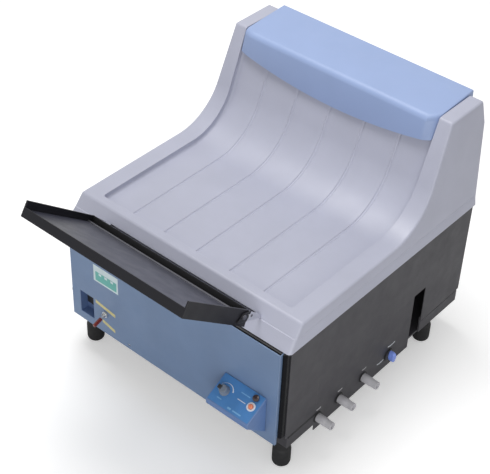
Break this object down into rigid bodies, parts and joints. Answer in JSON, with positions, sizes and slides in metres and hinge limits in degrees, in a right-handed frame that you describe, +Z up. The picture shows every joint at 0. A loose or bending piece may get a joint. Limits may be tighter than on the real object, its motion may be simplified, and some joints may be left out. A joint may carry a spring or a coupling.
{
  "type": "dental film processor",
  "caption": "Benchtop dental x-ray film processor: laned receiving basin swept up to a hooded dryer tower, inclined feed tray, control pod, side drains and geared roller racks.",
  "frame": {"origin": "middle of the footprint at bench height, under the feet", "axes": "+X to the machine's right as its user faces it, +Y from the front panel to the rear, +Z up"},
  "size_m": [0.4618, 0.5854, 0.4345],
  "materials": {
    "black_plastic": "black moulded plastic",
    "board": "green circuit board",
    "button_orange": "orange-red push button",
    "case_grey": "fine-textured dark grey powder coat",
    "cover": "satin moulded lid, pale lilac grey",
    "gear": "cream acetal gears",
    "hood": "smooth pale blue hood",
    "hose_grey": "grey moulded pipe fitting",
    "knob_grey": "warm grey control knob",
    "panel_blue": "satin slate-blue enamel",
    "rack": "cream engineering plastic",
    "roller": "brown roller covering",
    "rubber": "black rubber",
    "sleeve_red": "dark red lever sleeve",
    "steel": "plain steel",
    "tank": "black chemical-proof moulding",
    "tray": "black moulded tray",
    "valve_blue": "bright blue knob"
  },
  "bodies": {
    "case": {"air_heater": "steel", "base_pan": "case_grey", "circulation_pump": "black_plastic", "control_board": "board", "control_pod": "panel_blue", "corner_post_left": "black_plastic", "corner_post_right": "black_plastic", "drain_spigot_1": "hose_grey", "drain_spigot_2": "hose_grey", "drain_spigot_3": "hose_grey", "drive_belt": "rubber", "drive_motor": "steel", "dryer_frame": "rack", "fan_frame": "black_plastic", "foot_front_left": "rubber", "foot_front_right": "rubber", "foot_rear_left": "rubber", "foot_rear_right": "rubber", "front_panel": "panel_blue", "inlet_valve_body": "black_plastic", "mains_inlet": "black_plastic", "rack_developer": "rack", "rack_fixer": "rack", "rack_wash": "rack", "rear_panel": "case_grey", "service_panel": "case_grey", "side_panel_left": "case_grey", "side_panel_right": "case_grey", "tank_unit": "tank", "toggle_bushing": "steel"},
    "cover": {"top_cover": "cover", "hood_rod": "steel", "tray_bracket_left": "steel", "tray_bracket_right": "steel", "tray_rod": "steel"},
    "hood": {"hood": "hood"},
    "feed_tray": {"feed_tray": "tray"},
    "timer_knob": {"timer_knob": "knob_grey"},
    "start_button": {"start_button": "button_orange"},
    "stop_button": {"stop_button": "black_plastic"},
    "toggle_arm": {"toggle_lever": "steel", "toggle_sleeve": "sleeve_red"},
    "valve_knob": {"inlet_valve_knob": "valve_blue"},
    "side_knob": {"side_knob": "black_plastic"},
    "fan_rotor": {"fan_rotor": "black_plastic"},
    "motor_pinion": {"motor_pinion": "gear"},
    "exit_roller_lower": {"exit_roller_lower": "roller"},
    "exit_roller_upper": {"exit_roller_upper": "roller"},
    "roller_developer_front": {"roller_developer_front": "roller"},
    "roller_developer_rear": {"roller_developer_rear": "roller"},
    "turn_roller_developer": {"turn_roller_developer": "roller"},
    "roller_fixer_front": {"roller_fixer_front": "roller"},
    "roller_fixer_rear": {"roller_fixer_rear": "roller"},
    "turn_roller_fixer": {"turn_roller_fixer": "roller"},
    "roller_wash_front": {"roller_wash_front": "roller"},
    "roller_wash_rear": {"roller_wash_rear": "roller"},
    "turn_roller_wash": {"turn_roller_wash": "roller"},
    "idler_gear_1": {"idler_gear_1": "gear"},
    "idler_gear_2": {"idler_gear_2": "gear"},
    "idler_gear_3": {"idler_gear_3": "gear"}
  },
  "joints": [
    {"name": "cover_lift", "type": "slide", "parent": "case", "child": "cover", "axis": [0, 0, 1], "range_m": [0, 0.19]},
    {"name": "hood_hinge", "type": "hinge", "parent": "cover", "child": "hood", "pos_m": [-0.0056, 0.27512, 0.4225], "axis": [-1, 0, 0], "range_deg": [0, 70]},
    {"name": "tray_pivot", "type": "hinge", "parent": "cover", "child": "feed_tray", "pos_m": [-0.0056, -0.17615, 0.28783], "axis": [-1, 0, 0], "range_deg": [0, 52.5]},
    {"name": "timer_knob_turn", "type": "hinge", "parent": "case", "child": "timer_knob", "pos_m": [0.1206, -0.18419, 0.14009], "axis": [0, -0.4644, 0.8856], "range_deg": [-150, 150]},
    {"name": "start_press", "type": "slide", "parent": "case", "child": "start_button", "axis": [0, 0.4644, -0.8856], "range_m": [0, 0.0025], "stiffness_N_per_m": 300},
    {"name": "stop_press", "type": "slide", "parent": "case", "child": "stop_button", "axis": [0, 0.4644, -0.8856], "range_m": [0, 0.0025], "stiffness_N_per_m": 300},
    {"name": "toggle_throw", "type": "hinge", "parent": "case", "child": "toggle_arm", "pos_m": [-0.1361, -0.16538, 0.1085], "axis": [-1, 0, 0], "range_deg": [0, 36]},
    {"name": "valve_turn", "type": "hinge", "parent": "case", "child": "valve_knob", "pos_m": [0.2094, 0.10062, 0.06], "axis": [1, 0, 0], "range_deg": [0, 90]},
    {"name": "side_knob_turn", "type": "hinge", "parent": "case", "child": "side_knob", "pos_m": [-0.2159, -0.13738, 0.09], "axis": [-1, 0, 0], "continuous": true},
    {"name": "fan_spin", "type": "hinge", "parent": "case", "child": "fan_rotor", "pos_m": [0.0544, 0.26332, 0.131], "axis": [0, 1, 0], "continuous": true},
    {"name": "turn_roller_developer_spin", "type": "hinge", "parent": "case", "child": "turn_roller_developer", "pos_m": [-0.0056, -0.06738, 0.104], "axis": [1, 0, 0], "continuous": true},
    {"name": "turn_roller_fixer_spin", "type": "hinge", "parent": "case", "child": "turn_roller_fixer", "pos_m": [-0.0056, 0.01862, 0.104], "axis": [1, 0, 0], "continuous": true},
    {"name": "turn_roller_wash_spin", "type": "hinge", "parent": "case", "child": "turn_roller_wash", "pos_m": [-0.0056, 0.10462, 0.104], "axis": [1, 0, 0], "continuous": true},
    {"name": "roller_wash_rear_spin", "type": "hinge", "parent": "case", "child": "roller_wash_rear", "pos_m": [-0.0056, 0.11362, 0.222], "axis": [1, 0, 0], "continuous": true},
    {"name": "motor_pinion_spin", "type": "hinge", "parent": "case", "child": "motor_pinion", "pos_m": [-0.1636, 0.18462, 0.18352], "axis": [1, 0, 0], "continuous": true},
    {"name": "idler_gear_3_spin", "type": "hinge", "parent": "case", "child": "idler_gear_3", "pos_m": [-0.1636, 0.14762, 0.19999], "axis": [1, 0, 0], "continuous": true},
    {"name": "roller_wash_front_spin", "type": "hinge", "parent": "case", "child": "roller_wash_front", "pos_m": [-0.0056, 0.09562, 0.222], "axis": [1, 0, 0], "continuous": true},
    {"name": "idler_gear_2_spin", "type": "hinge", "parent": "case", "child": "idler_gear_2", "pos_m": [-0.1636, 0.06162, 0.19999], "axis": [1, 0, 0], "continuous": true},
    {"name": "roller_fixer_rear_spin", "type": "hinge", "parent": "case", "child": "roller_fixer_rear", "pos_m": [-0.0056, 0.02762, 0.222], "axis": [1, 0, 0], "continuous": true},
    {"name": "roller_fixer_front_spin", "type": "hinge", "parent": "case", "child": "roller_fixer_front", "pos_m": [-0.0056, 0.00962, 0.222], "axis": [1, 0, 0], "continuous": true},
    {"name": "idler_gear_1_spin", "type": "hinge", "parent": "case", "child": "idler_gear_1", "pos_m": [-0.1636, -0.02438, 0.19999], "axis": [1, 0, 0], "continuous": true},
    {"name": "roller_developer_rear_spin", "type": "hinge", "parent": "case", "child": "roller_developer_rear", "pos_m": [-0.0056, -0.05838, 0.222], "axis": [1, 0, 0], "continuous": true},
    {"name": "roller_developer_front_spin", "type": "hinge", "parent": "case", "child": "roller_developer_front", "pos_m": [-0.0056, -0.07638, 0.222], "axis": [1, 0, 0], "continuous": true},
    {"name": "exit_roller_lower_spin", "type": "hinge", "parent": "case", "child": "exit_roller_lower", "pos_m": [-0.0056, 0.22162, 0.394], "axis": [1, 0, 0], "continuous": true},
    {"name": "exit_roller_upper_spin", "type": "hinge", "parent": "case", "child": "exit_roller_upper", "pos_m": [-0.0056, 0.22162, 0.412], "axis": [1, 0, 0], "continuous": true}
  ],
  "couplings": [
    {"joint": "motor_pinion_spin", "follows": "roller_wash_rear_spin", "ratio": 1},
    {"joint": "idler_gear_3_spin", "follows": "roller_wash_rear_spin", "ratio": -0.28571},
    {"joint": "roller_wash_front_spin", "follows": "roller_wash_rear_spin", "ratio": -1},
    {"joint": "idler_gear_2_spin", "follows": "roller_wash_rear_spin", "ratio": 0.28571},
    {"joint": "roller_fixer_rear_spin", "follows": "roller_wash_rear_spin", "ratio": -1},
    {"joint": "roller_fixer_front_spin", "follows": "roller_wash_rear_spin", "ratio": 1},
    {"joint": "idler_gear_1_spin", "follows": "roller_wash_rear_spin", "ratio": -0.28571},
    {"joint": "roller_developer_rear_spin", "follows": "roller_wash_rear_spin", "ratio": 1},
    {"joint": "roller_developer_front_spin", "follows": "roller_wash_rear_spin", "ratio": -1},
    {"joint": "exit_roller_lower_spin", "follows": "roller_wash_rear_spin", "ratio": 1},
    {"joint": "exit_roller_upper_spin", "follows": "roller_wash_rear_spin", "ratio": -1}
  ]
}
